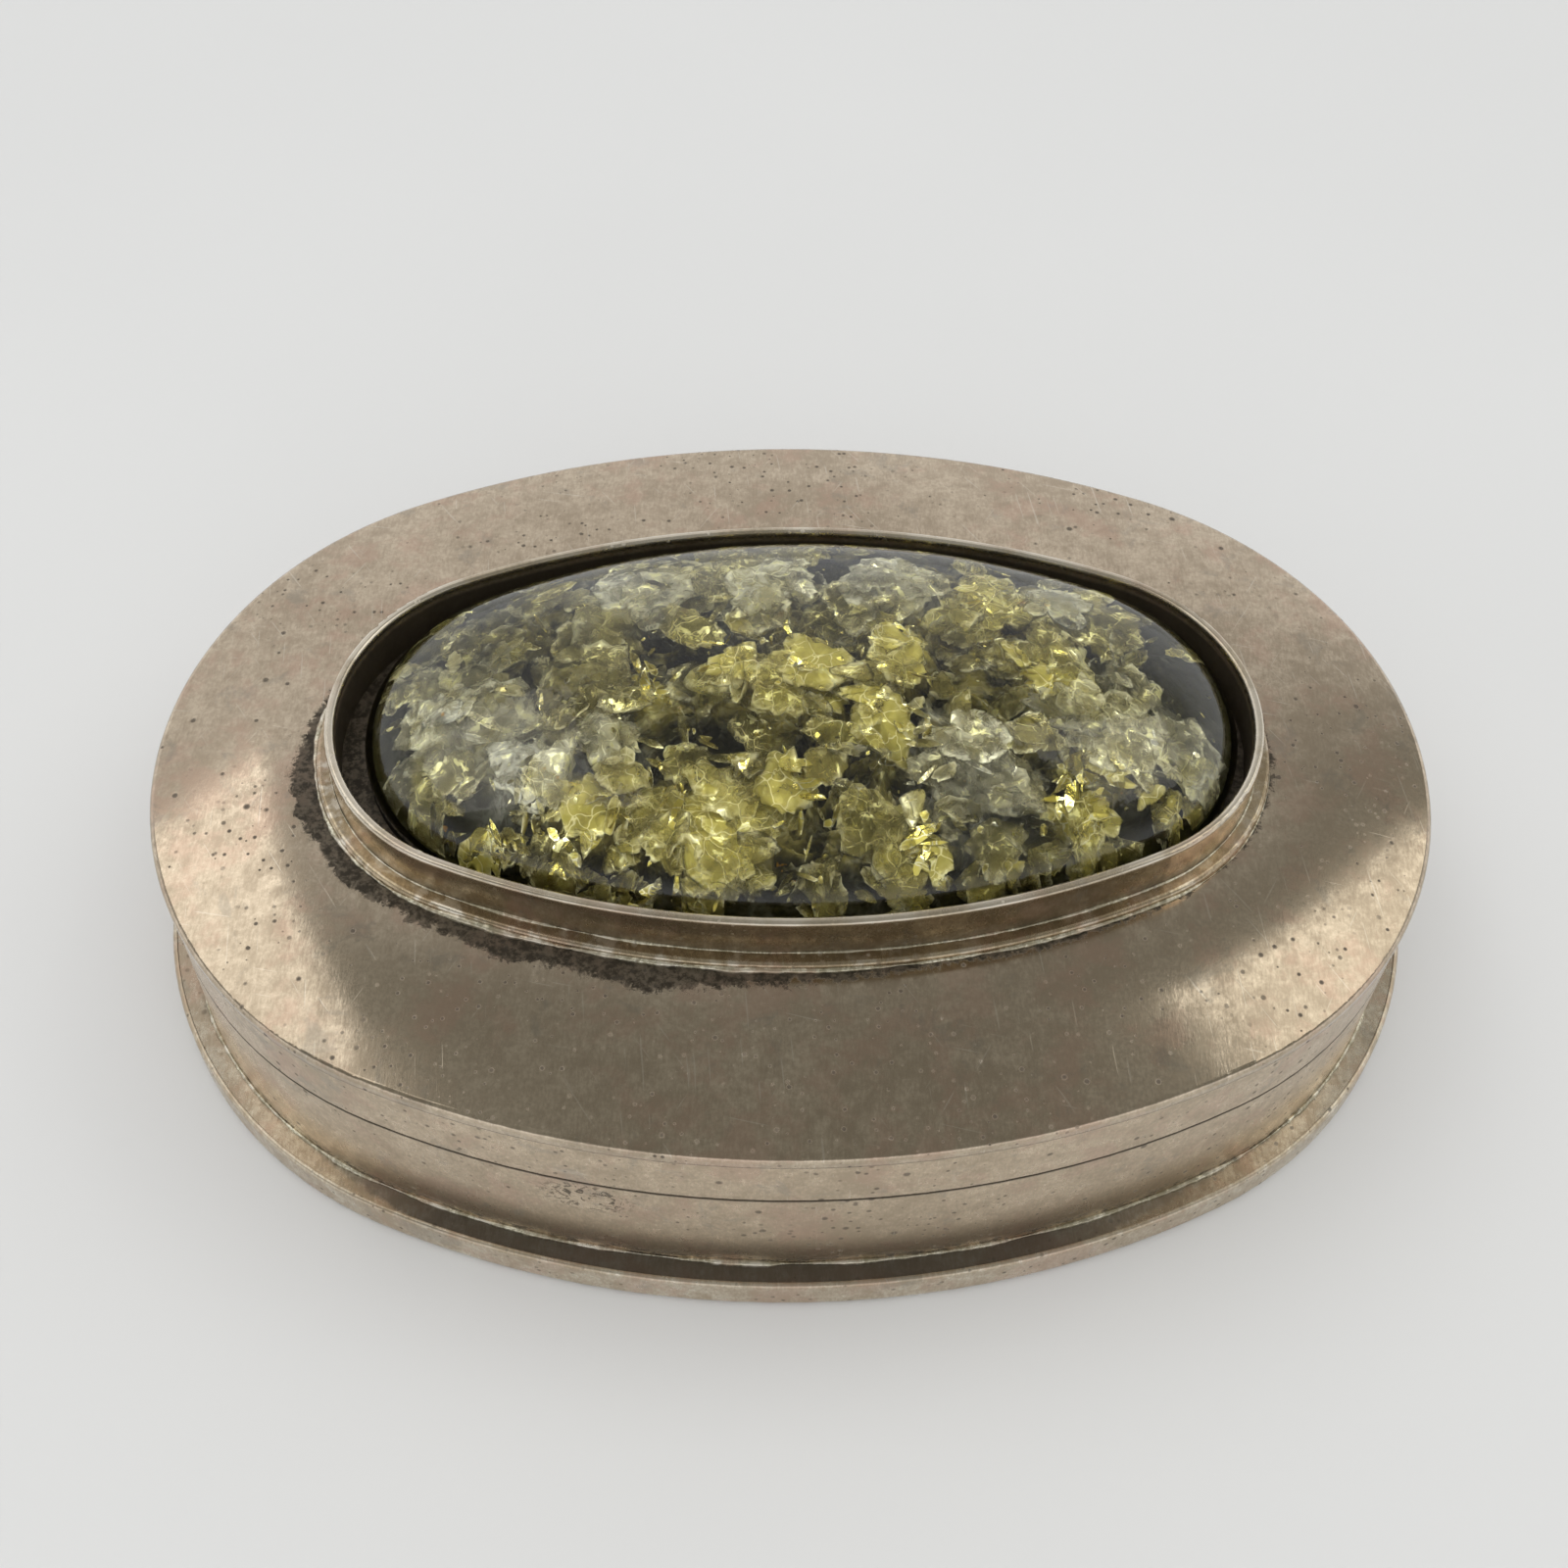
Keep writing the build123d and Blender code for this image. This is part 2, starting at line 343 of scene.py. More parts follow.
# The bezel's colours, also used for the step wire, are darker than the wall's: tarnish, and a painted dark
# reflection across the bezel.
BEZEL_LIGHT = (0.57, 0.47, 0.32, 1)
BEZEL_DARK = (0.31, 0.24, 0.15, 1)
WARM_TARNISH = (0.56, 0.38, 0.29, 1)
COOL_TARNISH = (0.33, 0.30, 0.25, 1)
PIT_BROWN = (0.045, 0.032, 0.02, 1)
DIRT_AND_SHADE_BROWN = (0.034, 0.026, 0.016, 1)


def ragged(graph, where, scale, amount):
    """A rough signed offset in millimetres that breaks up the edge of a mask."""
    rough = graph.noise(where, scale, 6.0, 0.8, 0.4)
    return graph.times(graph.minus(rough, 0.5), amount)


def toward(graph, where, direction, low, high):
    """Rises from 0 to 1 along a level direction between two distances from the middle of the box."""
    along = graph.add("ShaderNodeVectorMath", {0: where, 1: direction}, output=1, operation="DOT_PRODUCT")
    return graph.step(along, low, high)


# How fast the lid's top falls away outside the step wire.
LID_SLOPE = 0.1


def lid_ring_and_edge_reflection(graph, where):
    """On the lid's top, a ragged dark ring just outside the step wire, widest at the front left, and a
    painted dark reflection: a dark line just inside the rounded edge."""
    distance = outside_distance(graph, where, step_length, step_width)
    reach = graph.between(toward(graph, where, (-0.55, -0.83, 0), 7.0, 15.0), 0.1, 1.0)
    reach = graph.times(reach, graph.between(graph.noise(where, 0.35, 2.0), 0.3, 1.8))
    frayed = graph.plus(distance, ragged(graph, where, 1.7, 2.2))
    ring = graph.step(graph.minus(frayed, reach), 0.15, -0.1)
    patchy = graph.step(graph.noise(where, 2.4, 4.0, 0.8), 0.6, 0.4)
    ring = graph.times(ring, graph.between(patchy, 0.8, 1.0))
    slope = graph.times(graph.maths("MAXIMUM", distance, 0.0), LID_SLOPE)
    crown = graph.plus(height_of(graph, where), slope)
    ring = graph.times(ring, graph.step(crown, seat_height - 0.35, seat_height - 0.25))
    # Painted dark reflection: a thin dark line just inside the lid's rounded edge.
    height = graph.plus(height_of(graph, where), ragged(graph, where, 1.5, 0.12))
    inner = graph.step(height, edge_height + 0.11, edge_height + 0.03)
    outer = graph.step(height, edge_height - 0.06, edge_height - 0.01)
    line = graph.times(graph.times(inner, outer), 0.45)
    return graph.maths("MAXIMUM", ring, line)


def lid_edge(graph, where):
    """The rounded edge of the lid, which fingers keep bright, lightened further by a painted highlight."""
    height = graph.plus(height_of(graph, where), ragged(graph, where, 1.3, 0.15))
    return graph.times(graph.step(height, edge_height - 0.03, edge_height - 0.15), 0.85)


def wall_dirt(graph, where):
    """Pits and residue on the walls: along the seam, over the solder line and in one corroded patch."""
    height = height_of(graph, where)
    from_seam = graph.maths("ABSOLUTE", graph.minus(height, seam_height))
    seam = graph.times(graph.step(from_seam, 0.16, 0.03), 0.85)

    broken = graph.step(graph.noise(graph.turned(where, 0.0, (1.0, 1.0, 2.5)), 1.3, 4.0, 0.75), 0.5, 0.56)
    low = graph.plus(height, ragged(graph, where, 0.8, 1.4))
    low = graph.step(low, floor_top + 0.85, floor_top + 0.25)
    foot = graph.times(graph.times(low, broken), 0.8)

    patch_centre = (-9.6, -21.0, seam_height - 1.3)
    patch_shape = (0.45, 0.2, 0.75)
    centred = graph.add("ShaderNodeVectorMath", {0: where, 1: patch_centre}, operation="SUBTRACT")
    patch = graph.add("ShaderNodeVectorMath", {0: centred, 1: patch_shape}, operation="MULTIPLY")
    near = graph.step(graph.add("ShaderNodeVectorMath", {0: patch}, output=1, operation="LENGTH"), 1.2, 0.5)
    curls = graph.step(graph.noise(where, 1.5, 3.0, 0.7, 2.0), 0.52, 0.58)
    corroded = graph.times(graph.times(near, curls), 0.8)
    return graph.maths("MAXIMUM", graph.maths("MAXIMUM", seam, foot), corroded)


def bezel_rim(graph, where):
    """The rim at the top of the bezel, bright from wear in places and lightened by a painted highlight."""
    frayed = graph.step(graph.noise(where, 0.25, 3.0, 0.6), 0.4, 0.6)
    top = graph.step(height_of(graph, where), bezel_top - 0.3, bezel_top - 0.1)
    return graph.times(top, graph.between(frayed, 0.25, 0.7))


def bezel_dark_foot_and_inner_shade(graph, where):
    """Darkens the bezel towards the step wire, and paints shade over almost all of its inside."""
    height = height_of(graph, where)
    low = graph.plus(height, ragged(graph, where, 1.2, 1.5))
    outside = graph.times(graph.step(low, seat_height + 1.3, seat_height - 0.1), 0.7)
    # Painted shade: almost all of the bezel's inside is darkened.
    inside = graph.step(outside_distance(graph, where, bezel_length, bezel_width), -0.2, -0.4)
    deep = graph.step(height, bezel_top - 0.25, bezel_top - 0.75)
    inside = graph.times(graph.times(inside, deep), 0.94)
    return graph.maths("MAXIMUM", outside, inside)


def step_glints(graph, where):
    """Painted glints in lumps along the step wire and the solder, brightest at the left."""
    lumps = graph.step(graph.noise(where, 0.9, 3.0, 0.6), 0.48, 0.64)
    left = graph.between(toward(graph, where, (-0.9, -0.4, 0), 0.0, 16.0), 0.4, 1.0)
    return graph.times(lumps, graph.times(left, 0.75))


def ledge_dark_reflection(graph, where):
    """A painted dark reflection on the ledge at the foot of the wall, thick along the middle and thin at
    the two ends.
    """
    along = graph.add("ShaderNodeSeparateXYZ", {0: where})
    middle = graph.times(graph.step(along, -24.0, -15.0), graph.step(along, 20.0, 9.0))
    distance = outside_distance(graph, where, wall_length, wall_width)
    frayed = graph.plus(distance, ragged(graph, where, 1.2, 1.0))
    corner = graph.step(graph.minus(frayed, graph.between(middle, 0.0, 1.0)), 0.25, -0.1)
    corner = graph.times(corner, graph.step(distance, -1.4, -0.6))
    return graph.times(corner, graph.between(middle, 0.25, 0.85))


# ---------------------------------------------------------------- outlines and meshes


def oval_outline(half_length, half_width, end_radius, count):
    """Evenly spaced points of an oval of four tangent arcs: for each, x, y and the outward normal."""
    side_radius = half_length**2 - 2 * half_length * end_radius + half_width**2
    side_radius /= 2 * (half_width - end_radius)
    end_centre = half_length - end_radius
    side_centre = half_width - side_radius
    turn = math.atan2(-side_centre, end_centre)
    end_run = end_radius * turn
    quarter = end_run + side_radius * (math.pi / 2 - turn)
    points = []
    for index in range(count):
        travelled = 4 * quarter * index / count
        side, run = divmod(travelled, quarter)
        if side % 2 == 1:
            run = quarter - run
        if run < end_run:
            angle = run / end_radius
            x, y = end_centre + end_radius * math.cos(angle), end_radius * math.sin(angle)
        else:
            angle = turn + (run - end_run) / side_radius
            x, y = side_radius * math.cos(angle), side_centre + side_radius * math.sin(angle)
        flip_x = -1 if side in (1, 2) else 1
        flip_y = -1 if side in (2, 3) else 1
        points.append((x * flip_x, y * flip_y, math.cos(angle) * flip_x, math.sin(angle) * flip_y))
    return points


def make_piece(name, vertices, faces, material, body):
    """A mesh piece, given in millimetres, that rides on a body."""
    mesh = bpy.data.meshes.new(name)
    mesh.from_pydata([Vector(v) * MM for v in vertices], [], faces)
    mesh.materials.append(material)
    for polygon in mesh.polygons:
        polygon.use_smooth = True
    mesh.update()
    piece = bpy.data.objects.new(name, mesh)
    bpy.context.scene.collection.objects.link(piece)
    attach(piece, body)
    return piece


def stacked_rings(rings, apex):
    """A closed skin over rings of equal count: the lowest ring is filled and the highest meets at apex."""
    count = len(rings[0])
    vertices = [point for ring in rings for point in ring]
    vertices.append(apex)
    faces = [tuple(reversed(range(count)))]
    for level in range(len(rings) - 1):
        for i in range(count):
            j = (i + 1) % count
            low, high = level * count, (level + 1) * count
            faces.append((low + i, low + j, high + j, high + i))
    last = (len(rings) - 1) * count
    faces += [(last + i, last + (i + 1) % count, len(vertices) - 1) for i in range(count)]
    return vertices, faces


# ---------------------------------------------------------------- the cabochon

# The height where the dome starts, and the radius of the ends of its outline.
GIRDLE_HEIGHT = 13.2
STONE_END_RADIUS = 8.65
# How far meshes stay inside the CAD solids that they replace.
SURFACE_MARGIN = 0.03
# The clear resin over the amber: its depth at the crown, how far under the girdle the amber's own dome
# starts, and the share of the plan that the amber fills.
SKIN_DEPTH = 0.4
CEILING_DROP = 0.15
PLAN_LIMIT = 0.95
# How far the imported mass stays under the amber's ceiling, and under the resin at its crown.
MASS_DROP = 0.2
CROWN_DROP = 0.5
# How deep under the resin's surface a large lump lies, without its own size.
LUMP_DEPTH = 0.9
# The power that makes a rounded oval follow the stone's outline.
OUTLINE_POWER = 2.24
dome_rise = stone_top - GIRDLE_HEIGHT

# Places in the stone, each with its x, y and radius in millimetres: where the amber is bright yellow, where
# flakes crowd along the front of the rim, where it is cloudy, and where it leaves a dark hollow.
YELLOW_PLACES = [
    (-9.2, -6.2, 2.6), (-3.9, -7.6, 3.0), (-0.9, -5.8, 2.4), (0.4, 0.0, 3.0), (4.4, 0.9, 2.2),
    (11.3, 0.0, 1.9), (13.4, -4.4, 2.2), (-14.2, -7.0, 2.0), (-2.9, 0.5, 2.2), (3.6, -2.9, 2.4),
    (5.2, -8.3, 1.8), (12.2, -6.6, 1.8), (-6.5, -0.5, 1.4), (8.5, 4.6, 1.8),
]
FRONT_LEFT_RIM = [
    (-15.2, -6.2, 1.4), (-14.0, -7.2, 1.4), (-12.4, -8.0, 1.4), (-10.4, -8.6, 1.2), (-7.6, -9.4, 1.4),
]
FRONT_RIM = [
    (-15.0, -6.2, 1.5), (-12.5, -8.0, 1.4), (-9.5, -9.1, 1.3), (-6.5, -9.7, 1.2), (-3.5, -10.0, 1.2),
    (0.5, -10.1, 1.2), (4.5, -9.9, 1.2), (8.5, -9.3, 1.2), (12.5, -8.0, 1.2), (16.0, -5.8, 1.2),
]
CLOUDY_PLACES = [
    (-14.8, -1.8, 4.4), (-11.8, -4.2, 3.0), (-8.6, -3.4, 2.2), (7.4, -5.0, 3.6), (14.4, -2.2, 3.8),
    (17.2, -2.4, 2.2), (-1.4, 5.6, 3.8), (-8.0, 5.6, 3.0), (5.0, 5.8, 3.2), (12.6, 5.2, 2.6),
    (-16.6, 1.6, 2.0), (5.4, -2.0, 1.8),
]
HOLLOWS = [
    (-10.3, 2.7, 1.1), (-14.2, -6.0, 1.5), (-3.1, -3.2, 2.0), (-0.4, -3.6, 1.4), (9.4, -6.9, 1.5),
    (14.6, -6.2, 1.6), (6.7, -9.0, 0.9), (8.7, -2.6, 0.8), (-16.9, 4.4, 1.4), (17.9, 1.0, 1.6),
    (-18.6, -1.5, 1.0), (9.8, 6.6, 0.9), (-5.6, -3.4, 0.9), (16.6, 4.2, 1.2), (-5.0, 1.6, 0.9),
]


def stone_ratio(x, y):
    """How far out a point of the stone's plan is: 0 at its centre and 1 on its outline."""
    along = abs((x - stone_centre) / stone_length) ** OUTLINE_POWER
    across = abs(y / stone_width) ** OUTLINE_POWER
    return (along + across) ** (1 / OUTLINE_POWER)


def dome_height(x, y):
    """The height of the dome's surface over a point of the plan."""
    inside = max(0.0, 1 - stone_ratio(x, y) ** 2)
    return GIRDLE_HEIGHT + dome_rise * math.sqrt(inside)


def amber_ceiling(x, y):
    """How high the amber may reach: a lower dome inside the resin, so that its shoulders stay clear."""
    inside = max(0.0, 1 - (stone_ratio(x, y) / PLAN_LIMIT) ** 2)
    return GIRDLE_HEIGHT - CEILING_DROP + (dome_rise - SKIN_DEPTH) * math.sqrt(inside)


def nearness(x, y, places):
    """How deep inside the nearest of some round places a point lies: 1 in its middle, 0 outside."""
    return max(0.0, max(1 - math.hypot(x - px, y - py) / radius for px, py, radius in places))


def make_dome(material):
    """The clear resin: an upright girdle and a dome, polished by hand, so never quite regular."""
    outline = oval_outline(stone_length, stone_width, STONE_END_RADIUS, 192)
    rings = [[(x + stone_centre, y, backing_top + SURFACE_MARGIN) for x, y, _, _ in outline]]
    levels = 44
    unevenness = 0.02
    for level in range(levels):
        angle = math.pi / 2 * level / levels
        height = GIRDLE_HEIGHT + (dome_rise - SURFACE_MARGIN) * math.sin(angle)
        ring = []
        for x, y, _, _ in outline:
            shrunk = Vector((x * math.cos(angle) + stone_centre, y * math.cos(angle), height))
            wobble = (noise.noise(shrunk * 0.35) - 1) * unevenness
            ring.append((shrunk.x, shrunk.y, height + wobble * math.sin(angle)))
        rings.append(ring)
    apex = (stone_centre, 0.0, GIRDLE_HEIGHT + dome_rise - 2 * SURFACE_MARGIN)
    vertices, faces = stacked_rings(rings, apex)
    piece = make_piece("cabochon_resin", vertices, faces, material, "lid")
    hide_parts("resin_dome")


def resin_material():
    """Clear resin, polished by hand and finely scratched."""
    material, graph, shader, where = new_material("resin")
    shader.inputs["Base Color"].default_value = (0.97, 0.98, 0.93, 1)
    shader.inputs["Transmission Weight"].default_value = 1.0
    shader.inputs["IOR"].default_value = 1.5
    rough = graph.noise(where, 0.8, 3.0, 0.6)
    graph.feed(shader.inputs["Roughness"], graph.between(rough, 0.0, 0.06))
    polish = graph.bump(graph.noise(where, 0.6, 3.0, 0.6), 0.03)
    fine = scratches(graph, where, 70.0, 0.70, 0.75, 6.0)
    graph.feed(shader.inputs["Normal"], graph.bump(fine, -0.002, polish))
    return material


# ---------------------------------------------------------------- amber

# Colours of the amber, from its dark depth to its painted glints and painted bright rims, and of the ground
# under it.
AMBER_DEEP = (0.022, 0.020, 0.005, 1)
AMBER_OLIVE = (0.36, 0.30, 0.075, 1)
AMBER_YELLOW = (0.74, 0.64, 0.15, 1)
AMBER_CLOUD = (0.84, 0.83, 0.72, 1)
AMBER_GLOW = (0.99, 0.95, 0.45, 1)
AMBER_CREAM = (0.96, 0.94, 0.72, 1)
AMBER_ORANGE = (0.75, 0.36, 0.03, 1)
BACKING_BLACK = (0.004, 0.006, 0.005, 1)
BACKING_OLIVE = (0.028, 0.030, 0.008, 1)


# The index of refraction of amber as seen from inside the resin, which is nearly as dense.
BURIED_IOR = 1.12


def amber(name, cover, mirror=0.0, facets=0.45, wrinkles=0.1, rim_light=0.5):
    """Amber: dark olive in its depth, yellow where light gathers and white where it is cloudy. Each point
    carries how near a torn rim it lies, how yellow it is and how cloudy. Fractures inside the amber
    break it into small facets that catch the light one by one. cover and mirror are the least that it
    hides and shines."""
    material, graph, shader, where = new_material(name)
    marks = graph.add("ShaderNodeAttribute", output=0, attribute_name="flake")
    parts = graph.add("ShaderNodeSeparateColor", {0: marks}).node
    rim, tone, cloud = parts.outputs

    warp = graph.add("ShaderNodeTexNoise", {"Vector": where, "Scale": 0.7, "Detail": 2.0}, output=1)
    warp = graph.add("ShaderNodeVectorMath", {0: warp, "Scale": 1.3}, operation="SCALE")
    bent = graph.add("ShaderNodeVectorMath", {0: where, 1: warp}, operation="ADD")
    facet = graph.add("ShaderNodeTexVoronoi", {"Vector": bent, "Scale": 1.5}).node.outputs["Color"]
    facet_tone = graph.add("ShaderNodeSeparateColor", {0: facet})
    crack = graph.add("ShaderNodeTexVoronoi", {"Vector": bent, "Scale": 0.9}, feature="DISTANCE_TO_EDGE")
    torn = graph.noise(bent, 1.2, 4.0, 0.62, 0.4)
    broad = graph.noise(where, 0.5, 3.0, 0.6, 0.5)

    play = graph.plus(graph.times(facet_tone, 0.3), 0.4)
    play = graph.plus(play, graph.times(graph.step(torn, 0.42, 0.64), 0.35))
    play = graph.plus(play, graph.times(graph.step(broad, 0.38, 0.62), 0.5))
    level = graph.times(tone, play, clamp=True)
    colour = graph.mix(graph.step(level, 0.08, 0.42), AMBER_DEEP, AMBER_OLIVE)
    colour = graph.mix(graph.step(level, 0.36, 0.9), colour, AMBER_YELLOW)
    veil = graph.times(cloud, graph.between(graph.step(torn, 0.38, 0.62), 0.35, 1.0))
    colour = graph.mix(veil, colour, AMBER_CLOUD)
    # Painted glints: bright yellow flecks where the torn pattern peaks on the brighter amber.
    painted_glint = graph.times(graph.step(torn, 0.58, 0.65), graph.step(level, 0.2, 0.55))
    colour = graph.mix(graph.times(painted_glint, 0.75), colour, AMBER_GLOW)
    rust = graph.step(graph.noise(where, 0.7, 3.0, 0.7), 0.69, 0.74)
    colour = graph.mix(graph.times(rust, 0.6), colour, AMBER_ORANGE)
    # Painted highlights: torn rims and fine cracks on the brighter amber are lightened towards cream.
    vein = graph.times(graph.step(crack, 0.035, 0.0), graph.step(level, 0.3, 0.7))
    edge = graph.maths("MAXIMUM", graph.times(rim, graph.step(torn, 0.4, 0.6)), vein)
    edge = graph.times(edge, rim_light)
    colour = graph.mix(edge, colour, AMBER_CREAM)
    graph.feed(shader.inputs["Base Color"], colour)

    alpha = graph.plus(graph.times(veil, 0.4), graph.times(level, 0.25))
    alpha = graph.plus(alpha, graph.times(painted_glint, 0.5))
    alpha = graph.plus(alpha, edge)
    graph.feed(shader.inputs["Alpha"], graph.plus(alpha, cover, clamp=True))
    shine = graph.plus(graph.times(painted_glint, 0.5), mirror, clamp=True)
    graph.feed(shader.inputs["Metallic"], shine)
    shader.inputs["IOR"].default_value = BURIED_IOR
    graph.feed(shader.inputs["Roughness"], graph.between(facet_tone, 0.08, 0.38))

    tilt = graph.add("ShaderNodeVectorMath", {0: facet, 1: (0.5, 0.5, 0.5)}, operation="SUBTRACT")
    tilt = graph.add("ShaderNodeVectorMath", {0: tilt, "Scale": facets}, operation="SCALE")
    wrinkled = graph.bump(torn, wrinkles)
    tilted = graph.add("ShaderNodeVectorMath", {0: wrinkled, 1: tilt}, operation="ADD")
    normal = graph.add("ShaderNodeVectorMath", {0: tilted}, operation="NORMALIZE")
    graph.feed(shader.inputs["Normal"], normal)
    return material


def backing_material():
    """The near-black ground under the amber."""
    material, graph, shader, where = new_material("stone_backing_dark")
    blotch = graph.noise(where, 0.6, 4.0, 0.6)
    colour = graph.mix(graph.step(blotch, 0.45, 0.8), BACKING_BLACK, BACKING_OLIVE)
    graph.feed(shader.inputs["Base Color"], colour)
    graph.feed(shader.inputs["Roughness"], graph.between(blotch, 0.3, 0.6))
    shader.inputs["IOR"].default_value = BURIED_IOR
    graph.feed(shader.inputs["Normal"], graph.bump(blotch, 0.08))
    return material


def finish_amber(name, vertices, faces, marks, material):
    """A piece of amber whose points carry their rim, yellow and cloud values."""
    piece = make_piece(name, vertices, faces, material, "lid")
    attribute = piece.data.color_attributes.new("flake", "FLOAT_COLOR", "POINT")
    for value, mark in zip(attribute.data, marks):
        value.color = mark
    return piece


def packed_amber(x, y):
    """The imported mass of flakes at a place: its height as a share of the room, and its marks."""
    here = Vector((x, y, 0.0))
    drift_x = noise.noise(here * 0.5 + Vector((7, 3, 1)))
    drift_y = noise.noise(here * 0.5 + Vector((2, 9, 4)))
    bent = here + Vector((drift_x, drift_y, 0)) * 1.7
    height, rim, tone = 0.0, 0.0, 0.0
    for scale, weight in ((0.30, 0.34), (0.62, 0.2), (1.3, 0.09)):
        distances, points = noise.voronoi(bent * scale)
        own = abs(noise.cell(points[0] * 37.3))
        border = distances[1] - distances[0]
        height += weight * (own - 0.6 * distances[0] ** 2)
        rim = max(rim, (1 - border * 5) * own)
        tone += weight * own
    folds = 1 - 2 * abs(noise.noise(bent * 0.8 + Vector((4, 4, 4))))
    creases = 1 - 2 * abs(noise.noise(bent * 2.1 + Vector((8, 1, 5))))
    height += 0.16 * folds + 0.07 * creases
    hollow = nearness(x, y, HOLLOWS)
    yellow = nearness(x, y, YELLOW_PLACES)
    cloudy = nearness(x, y, CLOUDY_PLACES)
    height += 0.2 * yellow + 0.15 * cloudy - 0.05 - 0.9 * min(1.0, 1.6 * hollow)
    tone = 0.7 * tone + 0.5 * min(1.0, 1.5 * yellow) + 0.15 * folds
    share = max(0.02, min(0.97, height))
    border = max(0.0, min(1.0, (0.93 - stone_ratio(x, y)) / 0.2))
    share *= 0.15 + 0.85 * border
    # Painted shade and light: the lower the mass and the nearer its outline, the darker its tone, and the
    # higher it lies, the more painted rim light its cell borders carry.
    tone *= max(0.1, 1 - 1.5 * hollow) * (0.15 + 1.1 * share) * (0.1 + 0.9 * border)
    cloud = min(0.9, 1.4 * cloudy) * (0.5 + 0.5 * noise.noise(bent * 0.9)) * border
    return share, (max(0.0, rim) * share, min(1.0, tone), max(0.0, cloud), 1.0)


def make_mass(material):
    """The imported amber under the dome: one crumpled body, its scales overlapping and its hollows deep."""
    sizes = [size * PLAN_LIMIT for size in (stone_length, stone_width, STONE_END_RADIUS)]
    outline = oval_outline(*sizes, 420)
    levels = 100
    rings = [[(x + stone_centre, y, backing_top + SURFACE_MARGIN) for x, y, _, _ in outline]]
    marks = [(0.0, 0.1, 0.0, 1.0)] * len(outline)
    for level in range(levels):
        shrink = 1 - level / levels
        ring = []
        for x, y, _, _ in outline:
            px, py = x * shrink + stone_centre, y * shrink
            share, mark = packed_amber(px, py)
            low = backing_top + 2 * SURFACE_MARGIN
            high = max(low, amber_ceiling(px, py) - MASS_DROP)
            ring.append((px, py, low + (high - low) * share))
            marks.append(mark)
        rings.append(ring)
    share, mark = packed_amber(stone_centre, 0.0)
    marks.append(mark)
    crown_room = dome_height(stone_centre, 0.0) - backing_top - CROWN_DROP
    apex = (stone_centre, 0.0, backing_top + crown_room * share)
    vertices, faces = stacked_rings(rings, apex)
    mass = finish_amber("amber_mass", vertices, faces, marks, material)
    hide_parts("amber_chip_layer")


# Kinds of flake: points round its edge, then its width, thickness and bow as shares of its length, how
# wrinkled its faces are and how uneven its outline is.
Form = namedtuple("Form", "sides narrow thick bow relief lobes")
LUMP = Form(sides=30, narrow=(0.6, 1.0), thick=(0.2, 0.34), bow=(-0.05, 0.12), relief=0.12, lobes=0.4)
SHELL = Form(sides=26, narrow=(0.5, 1.0), thick=(0.02, 0.05), bow=(-0.35, 0.4), relief=0.1, lobes=0.4)
CURL = Form(sides=18, narrow=(0.25, 0.5), thick=(0.05, 0.1), bow=(0.4, 0.9), relief=0.08, lobes=0.4)
SHARD = Form(sides=12, narrow=(0.12, 0.4), thick=(0.05, 0.12), bow=(-0.2, 0.2), relief=0.06, lobes=0.4)
CRUMB = Form(sides=7, narrow=(0.4, 1.0), thick=(0.2, 0.5), bow=(0.0, 0.1), relief=0.1, lobes=0.5)
# Where the rings of a flake's face lie, from its middle out to its torn rim.
RING_SHARES = (0.3, 0.58, 0.82, 0.94)


